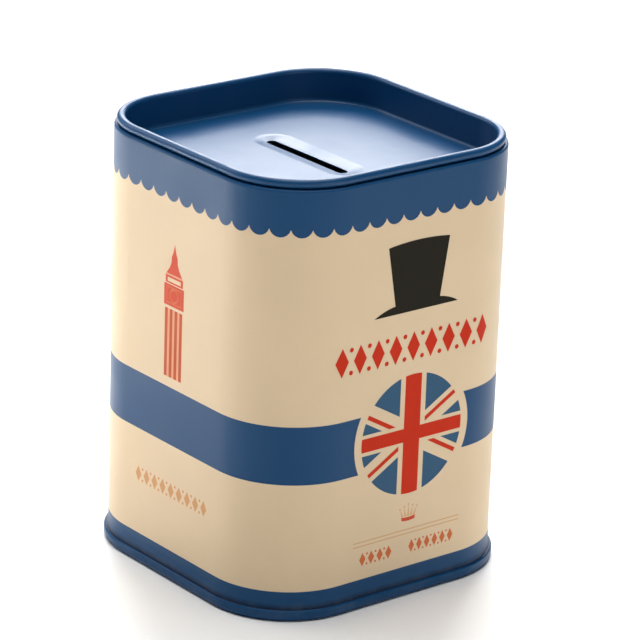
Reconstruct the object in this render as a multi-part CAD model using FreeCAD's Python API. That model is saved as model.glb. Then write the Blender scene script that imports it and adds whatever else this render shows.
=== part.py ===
import FreeCAD, Part
import math
import os
from FreeCAD import Vector

# Square tin money box in three pieces of bent tinplate: the wrapped body wall, the base plate
# whose edge is rolled over the wall's foot, and a plug lid with a coin slot that lifts out.
# Millimetres, +Z up. The origin is the middle of the face that the tin stands on.
# A section is drawn on the +X side, with X as the distance from the tin's middle.

# Tin body
body_width = 76.0
box_height = 105.0
corner_radius = 20.0
sheet = 0.25

# Edges at the top: the lid's is curled, and sits on the wall's, which is folded inwards
lid_curl_radius = 1.05
wall_fold_radius = 0.45
wall_fold_height = 1.9
fold_gap = 0.12
hem_tail = 0.3
plug_clearance = 0.25

# Foot, where the wall flares out and runs down inside the base's rolled edge
foot_stand_out = 1.0
foot_height = 2.8
foot_bottom_radius = 1.3
foot_lip_radius = 0.55
foot_lip_reach = 0.6
foot_ring_width = 2.7
base_recess = 2.0
base_bend_radius = 0.6
flare_out = 0.35
flare_top_z = 4.4
flare_top_radius = 7.5
flare_foot_z = 2.9
flare_foot_radius = 3.0
wall_end_z = 0.8

# Lid
rim_inset = 0.55
recess_depth = 8.2
recess_radius = 1.0

# Coin slot, punched through the bottom of a pressed trough that runs front to back
slot_length = 28.6
slot_width = 2.6
slot_shift = 1.2
trough_length = 34.7
trough_width = 9.8
trough_shift = 0.4
trough_depth = 0.75
trough_edge_radius = 3.0

# Lock seam that closes the wrapped wall, on the back
seam_x = 16.5
seam_width = 4.0
seam_layers = 3
seam_groove_width = 0.3
seam_groove_depth = 0.12
seam_bottom = 6.5
seam_top_margin = 3.5

# Worked out from the sizes above
half_width = body_width / 2
flat_half = half_width - corner_radius
rim_half = half_width - rim_inset
plug_half = rim_half - 2 * lid_curl_radius + sheet
panel_z = box_height - recess_depth
wall_fold_half = plug_half + plug_clearance
wall_top = box_height - 2 * lid_curl_radius - fold_gap
foot_half = half_width + foot_stand_out


def bent_sheet(corners):
    """Face of one sheet thickness, to the left of a path of (distance from the middle, height,
    bend radius) corners, whose first and last are the sheet's ends."""
    points = [Vector(x, 0, z) for x, z, _ in corners]
    edges = []
    start = points[0]
    for before, here, after, corner in zip(points, points[1:], points[2:], corners[1:]):
        radius = corner[2]
        arriving = (here - before).normalize()
        leaving = (after - here).normalize()
        half_turn = arriving.getAngle(leaving) / 2
        reach = radius * math.tan(half_turn)
        towards_axis = (leaving - arriving).normalize()
        bend_start = here - arriving * reach
        bend_middle = here + towards_axis * (radius / math.cos(half_turn) - radius)
        bend_end = here + leaving * reach
        if (bend_start - start).Length > sheet / 1000:
            edges.append(Part.LineSegment(start, bend_start).toShape())
        edges.append(Part.Arc(bend_start, bend_middle, bend_end).toShape())
        start = bend_end
    edges.append(Part.LineSegment(start, points[-1]).toShape())
    return Part.Wire(edges).makeOffset2D(sheet, join=2, fill=True, openResult=True)


def around_tin(section):
    """Solid of a section carried once round the rounded square."""
    side = section.translated(Vector(0, -flat_half, 0)).extrude(Vector(0, 2 * flat_half, 0))
    axis_foot = Vector(flat_half, flat_half, 0)
    corner = section.translated(Vector(0, flat_half, 0)).revolve(axis_foot, Vector(0, 0, 1), 90)
    quarters = []
    for turn in range(4):
        for piece in (side, corner):
            quarters.append(piece.rotated(Vector(), Vector(0, 0, 1), 90 * turn))
    return quarters[0].fuse(quarters[1:]).removeSplitter()


def middle_panel(bottom_z):
    """Sheet between the four corner axes, which fills the middle of a ring that starts there."""
    corner = Vector(-flat_half, -flat_half, bottom_z)
    return Part.makeBox(2 * flat_half, 2 * flat_half, sheet, corner)


def long_hole(length, width, shift, z):
    """Wire of a slot shape with round ends along Y, its middle moved by shift."""
    radius = width / 2
    reach = length / 2 - radius
    front, back = shift - reach, shift + reach
    return Part.Wire([
        Part.LineSegment(Vector(radius, front, z), Vector(radius, back, z)).toShape(),
        Part.Arc(Vector(radius, back, z), Vector(0, back + radius, z), Vector(-radius, back, z)).toShape(),
        Part.LineSegment(Vector(-radius, back, z), Vector(-radius, front, z)).toShape(),
        Part.Arc(Vector(-radius, front, z), Vector(0, front - radius, z), Vector(radius, front, z)).toShape(),
    ])


def trough_block(top_z):
    """What the trough's sloping walls enclose below top_z, down to the slot's edges."""
    mouth = long_hole(trough_length, trough_width, trough_shift, top_z)
    bottom = long_hole(slot_length, slot_width, slot_shift, top_z - trough_depth)
    return Part.makeLoft([mouth, bottom], True, True)


def soften_mouth(solid, z):
    """Rounds the crease where the trough's walls leave the panel's face at height z."""
    crease = []
    for edge in solid.Edges:
        box = edge.BoundBox
        level = abs(box.ZMin - z) < 1e-4 and abs(box.ZMax - z) < 1e-4
        if level and box.XMax < trough_width and box.XMin > -trough_width:
            crease.append(edge)
    return solid.makeFillet(trough_edge_radius, crease)


def make_body_wall():
    """Wrapped wall: flared foot, straight sides, top edge folded inwards, lock seam at the back."""
    fold_foot = wall_top - wall_fold_height
    wall = around_tin(bent_sheet([
        (half_width + flare_out, wall_end_z, 0),
        (half_width + flare_out, flare_foot_z, flare_foot_radius),
        (half_width, flare_top_z, flare_top_radius),
        (half_width, wall_top, wall_fold_radius),
        (wall_fold_half, wall_top, wall_fold_radius),
        (wall_fold_half, fold_foot, wall_fold_radius),
        (wall_fold_half + wall_fold_radius + hem_tail, fold_foot, 0),
    ]))
    seam_height = wall_top - seam_top_margin - seam_bottom
    seam_thickness = (seam_layers - 1) * sheet
    inner_face = half_width - sheet
    fold = Part.makeBox(
        seam_width, seam_thickness, seam_height,
        Vector(seam_x - seam_width / 2, inner_face - seam_thickness, seam_bottom))
    groove = Part.makeBox(
        seam_groove_width, seam_groove_depth, seam_height,
        Vector(seam_x - seam_groove_width / 2, half_width - seam_groove_depth, seam_bottom))
    return wall.fuse(fold).cut(groove)


def make_base_plate():
    """Recessed bottom, the flat ring it stands on, and the edge rolled over the wall's foot."""
    ring_inner = foot_half - foot_ring_width
    ring = around_tin(bent_sheet([
        (flat_half, base_recess, 0),
        (ring_inner, base_recess, base_bend_radius),
        (ring_inner, 0, base_bend_radius),
        (foot_half, 0, foot_bottom_radius),
        (foot_half, foot_height, foot_lip_radius),
        (foot_half - foot_lip_reach, foot_height, 0),
    ]))
    return ring.fuse(middle_panel(base_recess)).removeSplitter()


def make_lid():
    """Plug lid drawn from one sheet: sunken panel, plug wall and an edge rolled outwards."""
    inner_half = rim_half - 2 * lid_curl_radius
    ring = around_tin(bent_sheet([
        (rim_half - lid_curl_radius - hem_tail, box_height - 2 * lid_curl_radius, 0),
        (rim_half, box_height - 2 * lid_curl_radius, lid_curl_radius),
        (rim_half, box_height, lid_curl_radius),
        (inner_half, box_height, lid_curl_radius),
        (inner_half, panel_z, recess_radius),
        (flat_half, panel_z, 0),
    ]))
    plain_lid = ring.fuse(middle_panel(panel_z - sheet)).removeSplitter()
    trough_outside = trough_block(panel_z - sheet)
    trough_inside = trough_block(panel_z)
    lid = plain_lid.fuse(trough_outside).cut(trough_inside)
    slot = Part.Face(long_hole(slot_length, slot_width, slot_shift, panel_z))
    lid = lid.cut(slot.extrude(Vector(0, 0, -2 * trough_depth - sheet)))
    lid = lid.removeSplitter()
    return soften_mouth(soften_mouth(lid, panel_z), panel_z - sheet)


def main():
    os.makedirs("parts", exist_ok=True)
    pieces = {
        "body_wall": make_body_wall(),
        "base_plate": make_base_plate(),
        "lid": make_lid(),
    }
    for name, shape in pieces.items():
        solid = shape.Solids[0]
        box = solid.optimalBoundingBox()
        print(name, "valid" if shape.isValid() else "NOT VALID", len(shape.Solids), "solid",
              f"{solid.Volume:.0f} mm3, {box.XLength:.2f} x {box.YLength:.2f} x {box.ZLength:.2f}",
              f"from z {box.ZMin:.2f}")
        solid.exportStep(f"parts/{name}.step")


main()
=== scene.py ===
import math

import bmesh
import bpy
from mathutils import Matrix, Vector
from mathutils.geometry import tessellate_polygon


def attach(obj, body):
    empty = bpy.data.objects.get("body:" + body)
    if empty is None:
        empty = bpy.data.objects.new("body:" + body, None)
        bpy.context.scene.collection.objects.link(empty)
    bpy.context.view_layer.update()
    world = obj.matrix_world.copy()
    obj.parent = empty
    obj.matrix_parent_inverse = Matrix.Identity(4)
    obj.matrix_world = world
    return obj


# Looks of the square tin money box: printed and lacquered tinplate, with a row of lozenges where
# there would be a word. Outlines of the print are in millimetres, as the distance along the wall
# from the middle of a face, and the height. Blender itself works in metres.

millimetre = 0.001

# Sizes of the tin's wall, as in the CAD part
half_width = 38.0
corner_radius = 20.0
sheet = 0.25
flat_half = half_width - corner_radius
quarter = 2 * flat_half + corner_radius * math.pi / 2

# Lid: distance from a corner's axis to the middle of the plug wall's sheet, and height of the
# curl's lower edge. Base: height of the middle of its panel
lid_plug_middle = 17.475
lid_curl_bottom = 102.85
base_panel_middle = 2.12

# Painted shade in the crease at the foot. It fades upwards on the wall, and on the base, above the
# height of its lip, it fades away from the corner's axis
crease_bottom_z = 2.8
crease_top_z = 4.3
lip_crease_inner = 20.45
lip_crease_outer = 20.8
lip_z = 2.4
crease_shade_strength = 0.9

# Groove of the lock seam where the wrapped wall's two ends meet, on the back
seam_position = 2 * quarter - 16.5
seam_gap = 0.3
seam_depth = 0.12
seam_bottom_z = 6.5
seam_top_z = 99.28

# Ink layer: its two surfaces, its largest step round a corner, the distance within which two
# points count as one, and the angle from which an edge is shaded as sharp
ink_above_wall = 0.015
ink_into_wall = 0.035
bend_step = math.radians(3)
same_place = 0.01
sharp_edge = math.radians(30)

# Sides of the tin, counted round from the front
front, right, back, left = range(4)

# Bands printed round the tin
shoulder_z = 102.2
scallop_cusp_z = 93.75
scallop_drop = 1.85
scallop_pitch = 4.865
scallop_start = 1.8
band_bottom_z = 33.3
band_top_z = 47.3
foot_strip_top_z = 7.07
flare_start_z = 5.7

# Round badge of crossed bars on the front and the back
badge_s = 2.0
badge_z = 40.1
badge_radius = 14.65
badge_ring_radius = 16.7
upright_half = 2.37
crossbar_half = 1.66
upright_edging = 1.37
crossbar_edging = 0.9
diagonal_angle = math.radians(30)
diagonal_inner = 2.4
diagonal_outer = 2.15
diagonal_bar_offset = 0.64
diagonal_bar_width = 1.0

# Small ornaments: the front's title row, lower rows and rules, and the side's row
title_bottom_z = 58.0
title_top_z = 65.1
lower_row_bottom_z = 10.3
lower_row_top_z = 13.6
rule_heights = (15.4, 16.4)
rule_half = 0.14
small_row_bottom_z = 20.1
small_row_top_z = 24.0

# Coronet on the front and the back
coronet_s = 2.1
coronet_rim_bottom_z = 18.75
coronet_rim_top_z = 19.65
coronet_rim_half = 2.05
coronet_tip_z = 22.6
coronet_ball_radius = 0.24

# Clock tower on the left and the right
clock = (0, 69.6)
shaft_half = 3.3
shaft_bottom_z = 49.7
shaft_top_z = 66.25
stripe_width = 1.05
stripe_gap = 0.8

# Strength of the shine of the varnish on the wall and base, of the lacquer on the lid, and of the
# black and the warm inks, which dry matt
varnish_gloss = 0.19
lacquer_gloss = 0.32
matt_ink_gloss = 0.06

# Least and most roughness of the plain wall, of inks and lacquer, which shine more sharply, and of
# bare tinplate
matt_roughness = (0.38, 0.46)
satin_roughness = (0.33, 0.41)
tin_roughness = (0.30, 0.45)

# Inks, as linear red, green and blue
cream = (0.80, 0.62, 0.405)
navy = (0.004, 0.060, 0.168)
badge_blue = (0.018, 0.088, 0.182)
red = (0.62, 0.030, 0.007)
hat_black = (0.016, 0.013, 0.007)
orange = (0.68, 0.170, 0.060)
pale_orange = (0.72, 0.43, 0.21)
coral = (0.66, 0.088, 0.042)
brick = (0.55, 0.095, 0.031)
pink = (0.80, 0.390, 0.220)
tan = (0.70, 0.36, 0.16)

# Painted shade for the creases, which also darkens the seam's groove as a dark joint, worn coats,
# and bare tinplate where it is dull and where it is bright
joint_and_crease_shade = (0.002, 0.010, 0.035)
worn_coat = (0.42, 0.46, 0.52)
dull_tin = (0.52, 0.50, 0.46)
bright_tin = (0.70, 0.68, 0.63)


def arc(centre, radius, start, end, steps):
    """Points of an arc, in degrees."""
    points = []
    for step in range(steps + 1):
        angle = math.radians(start + (end - start) * step / steps)
        points.append((centre[0] + radius * math.cos(angle), centre[1] + radius * math.sin(angle)))
    return points


def disc(centre, radius, steps=24):
    """Outline of a disc."""
    return arc(centre, radius, 0, 360, steps)[:-1]


def rectangle(left_s, right_s, bottom_z, top_z):
    """Outline of an upright rectangle."""
    return [(left_s, bottom_z), (right_s, bottom_z), (right_s, top_z), (left_s, top_z)]


def centred(half, bottom_z, top_z):
    """Outline of an upright rectangle in the middle of a side."""
    return rectangle(-half, half, bottom_z, top_z)


def wall_point(position, height, outwards):
    """Point in metres on the wall's outer face, at a distance round the tin from the front's middle."""
    side = round(position / quarter)
    along = position - side * quarter
    bend = max(abs(along) - flat_half, 0) / corner_radius
    reach = corner_radius + outwards
    x = math.copysign(min(abs(along), flat_half) + reach * math.sin(bend), along)
    y = -flat_half - reach * math.cos(bend)
    turn = Matrix.Rotation(side * math.pi / 2, 3, "Z")
    return turn @ Vector((x, y, height)) * millimetre


def bend_lines(start, end):
    """Positions between start and end where a layer has to be cut so that it follows the corners."""
    steps = math.ceil(math.pi / 2 / bend_step)
    first = math.floor(start / quarter) - 1
    last = math.ceil(end / quarter) + 1
    lines = []
    for side in range(first, last):
        for step in range(steps + 1):
            line = side * quarter + flat_half + corner_radius * math.pi / 2 * step / steps
            if start < line < end:
                lines.append(line)
    return lines


def flat_layer(shapes):
    """Flat mesh of shapes, welded where they share a corner. Each shape is a list of outlines: the
    outer one, then its holes."""
    layer = bmesh.new()
    for outlines in shapes:
        loops = [[Vector((s, z, 0)) for s, z in outline] for outline in outlines]
        corners = [layer.verts.new(point) for loop in loops for point in loop]
        for triangle in tessellate_polygon(loops):
            layer.faces.new([corners[index] for index in triangle])
    bmesh.ops.remove_doubles(layer, verts=layer.verts[:], dist=same_place)
    bmesh.ops.dissolve_degenerate(layer, edges=layer.edges[:], dist=same_place)
    return layer


def print_on_wall(name, side, shapes, ink):
    """A closed layer of ink on one side of the tin, bent round its corners."""
    layer = flat_layer(shapes)
    positions = [corner.co.x for corner in layer.verts]
    middle = side * quarter
    for line in bend_lines(min(positions) + middle, max(positions) + middle):
        everything = layer.verts[:] + layer.edges[:] + layer.faces[:]
        bmesh.ops.bisect_plane(
            layer, geom=everything, dist=same_place, plane_co=(line - middle, 0, 0), plane_no=(1, 0, 0))
    grown = bmesh.ops.extrude_face_region(layer, geom=layer.faces[:], use_keep_orig=True)
    inner_side = -1
    for item in grown["geom"]:
        if isinstance(item, bmesh.types.BMVert):
            item.co.z = inner_side
    for corner in layer.verts:
        outwards = -ink_into_wall if corner.co.z == inner_side else ink_above_wall
        corner.co = wall_point(corner.co.x + middle, corner.co.y, outwards)
    bmesh.ops.recalc_face_normals(layer, faces=layer.faces[:])
    mesh = bpy.data.meshes.new(name)
    layer.to_mesh(mesh)
    layer.free()
    mesh.shade_smooth()
    mesh.set_sharp_from_angle(angle=sharp_edge)
    mesh.materials.append(ink)
    piece = bpy.data.objects.new(name, mesh)
    bpy.context.scene.collection.objects.link(piece)
    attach(piece, "body")


def scallops(start, end):
    """The top band's lower edge from start to end, counted from the cusp above the badge."""
    radius = scallop_pitch**2 / 8 / scallop_drop + scallop_drop / 2
    half_angle = math.degrees(math.asin(scallop_pitch / 2 / radius))
    first = math.ceil((start - scallop_start) / scallop_pitch)
    last = math.floor((end - scallop_start) / scallop_pitch)
    points = [(start, scallop_cusp_z)]
    for count in range(first, last):
        middle = scallop_start + (count + 0.5) * scallop_pitch
        centre = (middle, scallop_cusp_z - scallop_drop + radius)
        points.extend(arc(centre, radius, 270 - half_angle, 270 + half_angle, 8)[:-1])
    points.append((scallop_start + last * scallop_pitch, scallop_cusp_z))
    return points + [(end, scallop_cusp_z)]


def print_outer_bands(ink):
    """Scalloped band under the shoulder and strip above the foot, from the seam round to the seam."""
    start = seam_position - 4 * quarter + seam_gap / 2
    end = seam_position - seam_gap / 2
    edge = scallops(start, end)
    columns = []
    for near, far in zip(edge, edge[1:]):
        columns.append([[near, far, (far[0], shoulder_z), (near[0], shoulder_z)]])
    print_on_wall("print_top_band", front, columns, ink)
    strip = rectangle(start, end, flare_start_z, foot_strip_top_z)
    print_on_wall("print_foot_strip", front, [[strip]], ink)


def print_middle_band(ink):
    """Band round the middle in three lengths, which end at the badges' rings and at the seam."""
    lower = math.degrees(math.asin((badge_z - band_bottom_z) / badge_ring_radius))
    upper = math.degrees(math.asin((band_top_z - badge_z) / badge_ring_radius))
    past_ring = 0.1

    def beside_badge(side, way):
        middle_s = side * quarter + badge_s
        cut_s = middle_s + way * (badge_ring_radius + past_ring)
        ring = arc((0, 0), badge_ring_radius, -lower, upper, 12)
        outline = [(middle_s + way * s, badge_z + z) for s, z in ring]
        return cut_s, [outline + [(cut_s, band_top_z), (cut_s, band_bottom_z)]]

    right_of_front, right_cap = beside_badge(front, 1)
    left_of_back, back_cap = beside_badge(back, -1)
    right_of_back, left_cap = beside_badge(back, 1)
    left_of_front, last_cap = beside_badge(front + 4, -1)
    lengths = (
        ("right", right_of_front, seam_position - seam_gap / 2, [right_cap]),
        ("back", seam_position + seam_gap / 2, left_of_back, [back_cap]),
        ("left", right_of_back, left_of_front, [left_cap, last_cap]),
    )
    for label, start, end, caps in lengths:
        run = [rectangle(start, end, band_bottom_z, band_top_z)]
        print_on_wall("print_middle_band_" + label, front, [run] + caps, ink)


def badge_quarter(flip_s, flip_z):
    """Large and small blue sector and the thin slanted red bar of one quarter of the badge."""
    slope = math.tan(diagonal_angle)
    edge_s = upright_half + upright_edging
    edge_z = crossbar_half + crossbar_edging
    beside_upright = flip_s == flip_z

    def rise(across):
        return across / math.cos(diagonal_angle)

    def rim_angle(across):
        return math.degrees(diagonal_angle + math.asin(across / badge_radius))

    def at_upright(across):
        return (edge_s, slope * edge_s + rise(across))

    def at_crossbar(across):
        return ((edge_z - rise(across)) / slope, edge_z)

    def placed(points):
        return [[(badge_s + flip_s * s, badge_z + flip_z * z) for s, z in points]]

    top = math.degrees(math.acos(edge_s / badge_radius))
    large = arc((0, 0), badge_radius, rim_angle(diagonal_inner), top, 10)
    large.append(at_upright(diagonal_inner))
    low = math.degrees(math.asin(edge_z / badge_radius))
    small = arc((0, 0), badge_radius, low, rim_angle(-diagonal_outer), 4)
    small.append(at_crossbar(-diagonal_outer))
    middle = diagonal_bar_offset if beside_upright else -diagonal_bar_offset
    near = middle - diagonal_bar_width / 2
    far = middle + diagonal_bar_width / 2
    cut = at_upright if beside_upright else at_crossbar
    bar = arc((0, 0), badge_radius, rim_angle(near), rim_angle(far), 2) + [cut(far), cut(near)]
    return [placed(large), placed(small)], placed(bar)


def badge_cross():
    """The upright and the crossbar: the middle, and four arms that end on the badge's rim."""
    middle = rectangle(
        badge_s - upright_half, badge_s + upright_half, badge_z - crossbar_half, badge_z + crossbar_half)
    shapes = [[middle]]
    for turn, half in enumerate((crossbar_half, upright_half, crossbar_half, upright_half)):
        reach = math.degrees(math.asin(half / badge_radius))
        end = arc((badge_s, badge_z), badge_radius, 90 * turn - reach, 90 * turn + reach, 4)
        shapes.append([end + [middle[(turn + 2) % 4], middle[(turn + 1) % 4]]])
    return shapes


def print_badge(side, label, blue_ink, red_ink):
    """Round badge of crossed bars."""
    blue_shapes = []
    red_shapes = badge_cross()
    for flip_s, flip_z in ((1, 1), (-1, 1), (-1, -1), (1, -1)):
        sectors, bar = badge_quarter(flip_s, flip_z)
        blue_shapes += sectors
        red_shapes.append(bar)
    print_on_wall("print_badge_blue_" + label, side, blue_shapes, blue_ink)
    print_on_wall("print_badge_red_" + label, side, red_shapes, red_ink)


def bow(start, end, swell, steps=6):
    """Points of a shallow curve from start to end, which swells to the left of the way there."""
    start = Vector(start)
    way = Vector(end) - start
    sideways = way.orthogonal().normalized()
    points = []
    for step in range(steps + 1):
        share = step / steps
        points.append(tuple(start + way * share + sideways * 4 * swell * share * (1 - share)))
    return points


def print_hat(side, label, ink):
    """Plain top hat with a flared crown and a narrow brim."""
    left_tip = (-10.4, 70.2)
    left_foot = (-4.4, 72.2)
    left_top = (-7.0, 86.4)
    right_top = (10.75, 86.4)
    right_foot = (8.6, 72.2)
    right_tip = (14.0, 70.2)
    brim_swell = 0.3
    crown_swell = 0.65
    outline = bow(left_tip, left_foot, brim_swell)
    outline += bow(left_top, right_top, crown_swell, 12)
    outline += bow(right_foot, right_tip, brim_swell)
    print_on_wall("print_hat_" + label, side, [[outline]], ink)


def lozenge_row(start, end, bottom_z, top_z, count):
    """A row of upright lozenges with two dots between neighbours, where a word would be."""
    pitch = (end - start) / count
    half = 0.36 * pitch
    dot_inset = 0.16 * pitch
    dot_radius = 0.11 * pitch
    middle_z = (bottom_z + top_z) / 2
    shapes = []
    for number in range(count):
        centre = start + (number + 0.5) * pitch
        shapes.append([[
            (centre - half, middle_z), (centre, bottom_z), (centre + half, middle_z), (centre, top_z)]])
        if number:
            dot_s = start + number * pitch
            shapes.append([disc((dot_s, bottom_z + dot_inset), dot_radius, 12)])
            shapes.append([disc((dot_s, top_z - dot_inset), dot_radius, 12)])
    return shapes


def print_front_ornaments(side, label, inks):
    """Rows of lozenges, the two rules and the small coronet of the front."""
    title = lozenge_row(-21.7, 24.65, title_bottom_z, title_top_z, count=9)
    print_on_wall("print_title_row_" + label, side, title, inks["red"])
    lower = lozenge_row(-12.3, -2.1, lower_row_bottom_z, lower_row_top_z, count=4)
    lower += lozenge_row(2.3, 16.2, lower_row_bottom_z, lower_row_top_z, count=6)
    print_on_wall("print_lower_row_" + label, side, lower, inks["orange"])
    rules = [[rectangle(-13.9, 17.4, z - rule_half, z + rule_half)] for z in rule_heights]
    print_on_wall("print_rules_" + label, side, rules, inks["pale_orange"])
    print_coronet(side, label, inks)


def print_coronet(side, label, inks):
    """Small coronet: a bowed rim, and five leaning points with a ball on each."""
    sag = 0.2
    taper = 0.15
    top_z = coronet_rim_top_z
    bottom_z = coronet_rim_bottom_z
    top_half = coronet_rim_half
    bottom_half = coronet_rim_half - taper
    rim = bow((coronet_s - top_half, top_z), (coronet_s + top_half, top_z), -sag)
    rim += bow((coronet_s + bottom_half, bottom_z), (coronet_s - bottom_half, bottom_z), sag)
    print_on_wall("print_coronet_rim_" + label, side, [[rim]], inks["coral"])
    foot_half = 0.3
    foot_reach = 1.65
    tip_reach = 2.5
    tip_drop = 0.9
    above_rim = 0.1
    foot_z = top_z + above_rim
    points = []
    for lean in (-1, -0.5, 0, 0.5, 1):
        foot_s = coronet_s + foot_reach * lean
        tip_s = coronet_s + tip_reach * lean
        tip_z = coronet_tip_z - tip_drop * abs(lean)
        points.append([[(foot_s - foot_half, foot_z), (foot_s + foot_half, foot_z), (tip_s, tip_z)]])
        points.append([disc((tip_s, tip_z + above_rim), coronet_ball_radius, 12)])
    print_on_wall("print_coronet_points_" + label, side, points, inks["pale_orange"])


def print_tower(side, label, inks):
    """Clock tower with a striped shaft, and the row of lozenges below it."""
    spire_side = [(0.55, 79.9), (1.1, 78.9), (1.2, 77.4), (1.75, 76.2), (3.0, 74.6)]
    spire = [(0, 82.0)] + spire_side + [(-s, z) for s, z in reversed(spire_side)]
    belfry = [centred(shaft_half, 72.35, 74.2), centred(2.5, 72.75, 73.7)]
    stage = [centred(3.75, 66.95, 72.1), centred(2.82, 67.58, 71.52)]
    face = [centred(2.6, 67.8, 71.3), disc(clock, 1.65)]
    dial = [disc(clock, 1.3)]
    print_on_wall("print_tower_top_" + label, side, [[spire], belfry, stage, face, dial], inks["coral"])
    ring = [disc(clock, 1.63), disc(clock, 1.32)]
    square = [centred(2.8, 67.6, 71.5), centred(2.62, 67.78, 71.32)]
    print_on_wall("print_tower_dial_" + label, side, [ring, square], inks["orange"])
    stripe_count = 4
    stripes = []
    gaps = [[centred(shaft_half, 74.25, 74.55)]]
    for number in range(stripe_count):
        start = number * (stripe_width + stripe_gap) - shaft_half
        end = start + stripe_width
        stripes.append([rectangle(start, end, shaft_bottom_z, shaft_top_z)])
        if number < stripe_count - 1:
            gaps.append([rectangle(end, end + stripe_gap, shaft_bottom_z, shaft_top_z)])
    print_on_wall("print_tower_stripes_" + label, side, stripes, inks["brick"])
    print_on_wall("print_tower_gaps_" + label, side, gaps, inks["pink"])
    small = lozenge_row(-14.0, 14.6, small_row_bottom_z, small_row_top_z, count=9)
    print_on_wall("print_small_row_" + label, side, small, inks["tan"])


def add(tree, kind, **inputs):
    """A shader node with its inputs set or linked, by name."""
    node = tree.nodes.new(kind)
    for name, value in inputs.items():
        connect(tree, node.inputs[name.replace("_", " ")], value)
    return node


def connect(tree, socket, value):
    """Links value to socket if it is a socket, and sets it otherwise."""
    if isinstance(value, bpy.types.NodeSocket):
        tree.links.new(value, socket)
    else:
        socket.default_value = value


def maths(tree, operation, *values):
    """Result of a maths node."""
    node = tree.nodes.new("ShaderNodeMath")
    node.operation = operation
    for socket, value in zip(node.inputs, values):
        connect(tree, socket, value)
    return node.outputs[0]


def place(tree):
    """Coordinates of the shaded point, in metres."""
    return tree.nodes.new("ShaderNodeTexCoord").outputs["Object"]


def noise(tree, size, detail=2.0, stretch=(1, 1, 1)):
    """Noise from 0 to 1 whose features are about that many millimetres across."""
    scaled = tree.nodes.new("ShaderNodeVectorMath")
    scaled.operation = "MULTIPLY"
    tree.links.new(place(tree), scaled.inputs[0])
    scaled.inputs[1].default_value = stretch
    node = add(tree, "ShaderNodeTexNoise", Vector=scaled.outputs[0], Scale=1 / (size * millimetre),
               Detail=detail)
    return node.outputs["Fac"]


def between(tree, value, low, high, from_low=0.3, from_high=0.7):
    """value, from from_low to from_high, carried over to the range from low to high."""
    node = add(tree, "ShaderNodeMapRange", Value=value, From_Min=from_low, From_Max=from_high,
               To_Min=low, To_Max=high)
    return node.outputs["Result"]


def mix_colour(tree, factor, first, second):
    """Mix of two colours. The node's colour inputs are numbers 6 and 7, and its output number 2."""
    node = tree.nodes.new("ShaderNodeMix")
    node.data_type = "RGBA"
    connect(tree, node.inputs[0], factor)
    for socket, value in ((node.inputs[6], first), (node.inputs[7], second)):
        connect(tree, socket, (*value, 1) if isinstance(value, tuple) else value)
    return node.outputs[2]


def mix_value(tree, factor, first, second):
    """Mix of two numbers, which are the node's inputs 2 and 3."""
    node = tree.nodes.new("ShaderNodeMix")
    connect(tree, node.inputs[0], factor)
    connect(tree, node.inputs[2], first)
    connect(tree, node.inputs[3], second)
    return node.outputs[0]


def printed_colour(tree, colour):
    """Ink with the faint unevenness of litho print: broad drifts and a fine grain."""
    most_ink = 0.97
    least_ink = 1.015
    lift = 0.001
    drift_size = 18
    grain_size = 0.35
    grain_strength = 0.5
    paler = tuple(least_ink * part + lift for part in colour)
    deeper = tuple(most_ink * part for part in colour)
    drift = between(tree, noise(tree, drift_size, detail=2), 0.0, 1.0)
    broad = mix_colour(tree, drift, deeper, paler)
    grain = between(tree, noise(tree, grain_size, detail=1), 0.0, grain_strength)
    return mix_colour(tree, grain, broad, deeper)


def varnish_bump(tree):
    """Normal of varnish: very low waves and a fine tooth."""
    wave_size = 6
    wave_depth_m = 2e-6
    tooth_size = 0.25
    tooth_depth_m = 3e-7
    waves = add(tree, "ShaderNodeBump", Strength=1.0, Distance=wave_depth_m,
                Height=noise(tree, wave_size, detail=1))
    tooth = add(tree, "ShaderNodeBump", Strength=1.0, Distance=tooth_depth_m,
                Height=noise(tree, tooth_size, detail=2), Normal=waves.outputs[0])
    return tooth.outputs[0]


def new_material(name, gloss):
    """A material with its tree and its shader."""
    material = bpy.data.materials.new(name)
    material.use_nodes = True
    tree = material.node_tree
    shader = tree.nodes["Principled BSDF"]
    shader.inputs["Specular IOR Level"].default_value = gloss
    return material, tree, shader


def smudged(tree, roughness):
    """Roughness that smudges vary between its least and its most."""
    smudge_size = 9
    return between(tree, noise(tree, smudge_size, detail=4), *roughness)


def ink_material(name, colour, gloss):
    """Printed ink with a satin finish."""
    material, tree, shader = new_material(name, gloss)
    connect(tree, shader.inputs["Base Color"], printed_colour(tree, colour))
    connect(tree, shader.inputs["Roughness"], smudged(tree, satin_roughness))
    connect(tree, shader.inputs["Normal"], varnish_bump(tree))
    return material


def from_corner_axis(tree):
    """Distance in millimetres from the nearest corner's axis, or from the line between two axes."""
    split = add(tree, "ShaderNodeSeparateXYZ", Vector=place(tree))
    beyond = []
    for axis in ("X", "Y"):
        across = maths(tree, "ABSOLUTE", split.outputs[axis])
        outside = maths(tree, "SUBTRACT", across, flat_half * millimetre)
        beyond.append(maths(tree, "MAXIMUM", outside, 0.0))
    squared = [maths(tree, "MULTIPLY", part, part) for part in beyond]
    distance = maths(tree, "SQRT", maths(tree, "ADD", *squared))
    return maths(tree, "MULTIPLY", distance, 1 / millimetre)


def height_mm(tree):
    """Height above the floor in millimetres, in the part's own frame."""
    split = add(tree, "ShaderNodeSeparateXYZ", Vector=place(tree))
    return maths(tree, "MULTIPLY", split.outputs["Z"], 1 / millimetre)


def above(tree, value, limit):
    """1 where value is over the limit, 0 elsewhere."""
    return maths(tree, "GREATER_THAN", value, limit)


def inverse(tree, value):
    """1 where value is 0, 0 where it is 1."""
    return maths(tree, "SUBTRACT", 1.0, value)


def rubbed(tree, where):
    """0 to 1 in soft patches where handling has dulled the varnish."""
    patch_size = 5
    patches = between(tree, noise(tree, patch_size, detail=3), 0.0, 1.0, from_low=0.42, from_high=0.68)
    return maths(tree, "MULTIPLY", where, patches)


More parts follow.
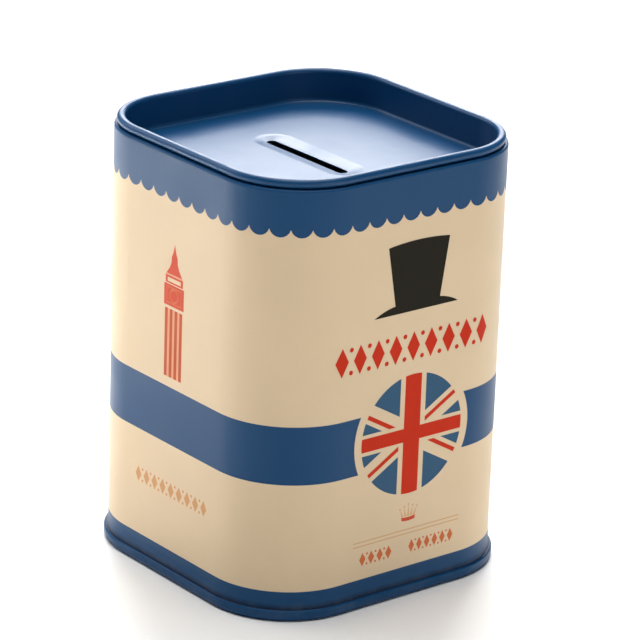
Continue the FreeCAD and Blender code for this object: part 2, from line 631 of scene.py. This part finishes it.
def bare_tin(tree):
    """Colour of bare tinplate with its upright rolling streaks."""
    streak_width = 2.0
    drawn_out = (1, 1, 0.08)
    streaks = between(tree, noise(tree, streak_width, detail=4, stretch=drawn_out), 0.0, 1.0)
    return mix_colour(tree, streaks, dull_tin, bright_tin)


def finish_sheet(tree, shader, coat, coated_side, roughness, wear):
    """Sheet with a printed coat on one side and bare tinplate on the other, dulled by wear."""
    worn_paler = 0.05
    worn_rougher = 0.12
    streak_width = 1.5
    drawn_out = (1, 1, 0.1)
    dulled = mix_colour(tree, maths(tree, "MULTIPLY", wear, worn_paler), coat, worn_coat)
    connect(tree, shader.inputs["Base Color"], mix_colour(tree, coated_side, bare_tin(tree), dulled))
    finish = maths(tree, "ADD", smudged(tree, roughness), maths(tree, "MULTIPLY", wear, worn_rougher))
    bare = between(tree, noise(tree, streak_width, detail=3, stretch=drawn_out), *tin_roughness)
    connect(tree, shader.inputs["Roughness"], mix_value(tree, coated_side, bare, finish))
    connect(tree, shader.inputs["Metallic"], inverse(tree, coated_side))
    connect(tree, shader.inputs["Normal"], varnish_bump(tree))


def wall_material():
    """Cream wall with a navy shoulder and foot, dark in the seam's groove, with painted shade in the
    foot's crease, and bare tin inside."""
    material, tree, shader = new_material("printed_wall", varnish_gloss)
    height = height_mm(tree)
    from_axis = from_corner_axis(tree)
    shoulder = above(tree, height, seam_top_z)
    foot = inverse(tree, above(tree, height, seam_bottom_z))
    outside = above(tree, from_axis, corner_radius - sheet / 2)
    coated = maths(tree, "MAXIMUM", outside, above(tree, height, shoulder_z))
    navy_part = maths(tree, "MAXIMUM", shoulder, foot)
    coat = mix_colour(tree, navy_part, printed_colour(tree, cream), printed_colour(tree, navy))
    sunken = inverse(tree, above(tree, from_axis, corner_radius - seam_depth / 2))
    groove = maths(tree, "MULTIPLY", sunken, inverse(tree, shoulder))
    # Painted shade in the foot's crease, fading upwards; the seam's groove gets the same dark colour as
    # a dark joint
    foot_crease_shade = between(tree, height, crease_shade_strength, 0.0, crease_bottom_z, crease_top_z)
    coat = mix_colour(tree, maths(tree, "MAXIMUM", groove, foot_crease_shade), coat, joint_and_crease_shade)
    wear = rubbed(tree, between(tree, height, 1.0, 0.0, from_low=3.2, from_high=4.6))
    finish_sheet(tree, shader, coat, coated, matt_roughness, wear)
    return material


def lid_material():
    """Navy lacquer on the lid's upper side, bare tin below."""
    material, tree, shader = new_material("lacquered_lid", lacquer_gloss)
    height = height_mm(tree)
    within_plug = inverse(tree, above(tree, from_corner_axis(tree), lid_plug_middle))
    normal = tree.nodes.new("ShaderNodeNewGeometry").outputs["Normal"]
    upright = add(tree, "ShaderNodeSeparateXYZ", Vector=normal).outputs["Z"]
    slightly_down = -0.3
    upper = maths(tree, "MULTIPLY", within_plug, above(tree, upright, slightly_down))
    coated = maths(tree, "MAXIMUM", upper, above(tree, height, lid_curl_bottom))
    wear = rubbed(tree, between(tree, height, 0.0, 1.0, from_low=104.6, from_high=104.95))
    finish_sheet(tree, shader, printed_colour(tree, navy), coated, satin_roughness, wear)
    return material


def base_material():
    """Navy lacquer on the base's outside with painted shade in the crease above its lip, bare tin
    within.
    """
    material, tree, shader = new_material("lacquered_base", varnish_gloss)
    height = height_mm(tree)
    from_axis = from_corner_axis(tree)
    edge_width = 2
    rolled_edge = above(tree, from_axis, corner_radius - edge_width)
    underneath = inverse(tree, above(tree, height, base_panel_middle))
    coated = maths(tree, "MAXIMUM", rolled_edge, underneath)
    bulge = between(tree, from_axis, 0.0, 1.0, from_low=20.85, from_high=21.0)
    sole = between(tree, height, 1.0, 0.0, from_low=0.0, from_high=0.25)
    wear = rubbed(tree, maths(tree, "MAXIMUM", bulge, sole))
    # Painted shade in the crease above the base's lip, fading away from the corner's axis
    foot_crease_shade = between(tree, from_axis, crease_shade_strength, 0.0, lip_crease_inner, lip_crease_outer)
    lip_crease_shade = maths(tree, "MULTIPLY", foot_crease_shade, above(tree, height, lip_z))
    coat = mix_colour(tree, lip_crease_shade, printed_colour(tree, navy), joint_and_crease_shade)
    finish_sheet(tree, shader, coat, coated, satin_roughness, wear)
    return material


def give_material(node, material):
    """Puts one material on a CAD node."""
    node.material_slots[0].link = "OBJECT"
    node.material_slots[0].material = material


def print_everything():
    """All ink on the wall: the back repeats the front, and the right side repeats the left."""
    inks = {
        "navy": ink_material("ink_navy", navy, varnish_gloss),
        "badge_blue": ink_material("ink_badge_blue", badge_blue, varnish_gloss),
        "red": ink_material("ink_red", red, matt_ink_gloss),
        "black": ink_material("ink_black", hat_black, matt_ink_gloss),
        "orange": ink_material("ink_orange", orange, matt_ink_gloss),
        "pale_orange": ink_material("ink_pale_orange", pale_orange, matt_ink_gloss),
        "coral": ink_material("ink_coral", coral, matt_ink_gloss),
        "brick": ink_material("ink_brick", brick, matt_ink_gloss),
        "pink": ink_material("ink_pink", pink, matt_ink_gloss),
        "tan": ink_material("ink_tan", tan, matt_ink_gloss),
    }
    print_outer_bands(inks["navy"])
    print_middle_band(inks["navy"])
    for side, label in ((front, "front"), (back, "back")):
        print_badge(side, label, inks["badge_blue"], inks["red"])
        print_hat(side, label, inks["black"])
        print_front_ornaments(side, label, inks)
    for side, label in ((left, "left"), (right, "right")):
        print_tower(side, label, inks)


def add_floor():
    """Plain pale floor."""
    mesh = bpy.data.meshes.new("floor")
    reach = 3.0
    floor_colour = (0.92, 0.92, 0.91)
    floor_gloss = 0.1
    floor_roughness = 0.9
    corners = [(-reach, -reach, 0), (reach, -reach, 0), (reach, reach, 0), (-reach, reach, 0)]
    mesh.from_pydata(corners, [], [(0, 1, 2, 3)])
    material, _, shader = new_material("floor", floor_gloss)
    shader.inputs["Base Color"].default_value = (*floor_colour, 1)
    shader.inputs["Roughness"].default_value = floor_roughness
    mesh.materials.append(material)
    floor = bpy.data.objects.new("floor", mesh)
    bpy.context.scene.collection.objects.link(floor)


def add_softbox(name, place_m, width, height, power):
    """Rectangular soft light that faces the tin, in metres and watts."""
    light = bpy.data.lights.new(name, "AREA")
    light.shape = "RECTANGLE"
    light.size = width
    light.size_y = height
    light.energy = power
    lamp = bpy.data.objects.new(name, light)
    lamp.location = place_m
    middle_of_tin = Vector((0, 0, 0.06))
    towards_tin = middle_of_tin - Vector(place_m)
    lamp.rotation_euler = towards_tin.to_track_quat("-Z", "Y").to_euler()
    bpy.context.scene.collection.objects.link(lamp)


def add_floor_light():
    """Narrow lamp that brightens the floor behind the tin, which its left face reflects."""
    light = bpy.data.lights.new("floor_light", "AREA")
    light.size = 0.3
    light.spread = math.radians(45)
    light.energy = 1.6
    lamp = bpy.data.objects.new("floor_light", light)
    lamp.location = (-0.24, 0.28, 0.5)
    lamp.visible_camera = False
    bpy.context.scene.collection.objects.link(lamp)


def add_lights():
    """Softboxes behind the tin and overhead, a weak one in front, and the lamp over the floor, in a
    faint white world."""
    world = bpy.data.worlds.new("studio")
    world.use_nodes = True
    background = world.node_tree.nodes["Background"]
    background.inputs["Color"].default_value = (1.0, 1.0, 1.0, 1)
    background.inputs["Strength"].default_value = 0.01
    bpy.context.scene.world = world
    add_softbox("softbox_low_back", (0.95, 1.15, 0.50), width=0.9, height=0.7, power=8)
    add_softbox("softbox_back", (0.8, 1.0, 1.2), width=0.9, height=0.8, power=37)
    add_softbox("softbox_left", (-0.6, 1.3, 0.9), width=0.9, height=0.8, power=7)
    add_softbox("softbox_front", (0.2, -1.5, 0.35), width=1.0, height=0.5, power=3)
    add_softbox("softbox_overhead", (0, 0, 1.5), width=1.2, height=1.2, power=21)
    add_floor_light()


def add_camera():
    """Long lens looking down on the front left corner, with its distance, shifts and focal length in
    millimetres."""
    azimuth = math.radians(-38.89)
    elevation = math.radians(20.154)
    roll = math.radians(2.066)
    distance = 876.5
    shift_right = 5.55
    shift_up = 52.86
    lens = 206.29
    towards = Vector((
        math.sin(azimuth) * math.cos(elevation),
        -math.cos(azimuth) * math.cos(elevation),
        math.sin(elevation)))
    level = Vector((math.cos(azimuth), math.sin(azimuth), 0))
    upright = towards.cross(level)
    right_way = math.cos(roll) * level + math.sin(roll) * upright
    up_way = math.cos(roll) * upright - math.sin(roll) * level
    data = bpy.data.cameras.new("camera")
    data.lens = lens
    data.clip_start = 0.01
    camera = bpy.data.objects.new("camera", data)
    turn = Matrix((right_way, up_way, towards)).transposed().to_4x4()
    spot = (right_way * shift_right + up_way * shift_up + towards * distance) * millimetre
    camera.matrix_world = Matrix.Translation(spot) @ turn
    bpy.context.scene.collection.objects.link(camera)
    bpy.context.scene.camera = camera


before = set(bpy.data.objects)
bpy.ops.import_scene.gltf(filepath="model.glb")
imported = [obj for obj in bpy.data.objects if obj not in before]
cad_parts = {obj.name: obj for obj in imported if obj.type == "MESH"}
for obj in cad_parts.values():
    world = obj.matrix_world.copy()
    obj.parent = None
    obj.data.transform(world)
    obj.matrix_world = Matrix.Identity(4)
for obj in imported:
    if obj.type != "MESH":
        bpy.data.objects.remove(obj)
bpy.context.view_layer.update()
give_material(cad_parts["body_wall"], wall_material())
give_material(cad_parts["lid"], lid_material())
give_material(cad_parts["base_plate"], base_material())
print_everything()
add_floor()
add_lights()
add_camera()
bpy.context.scene.view_settings.view_transform = "Standard"
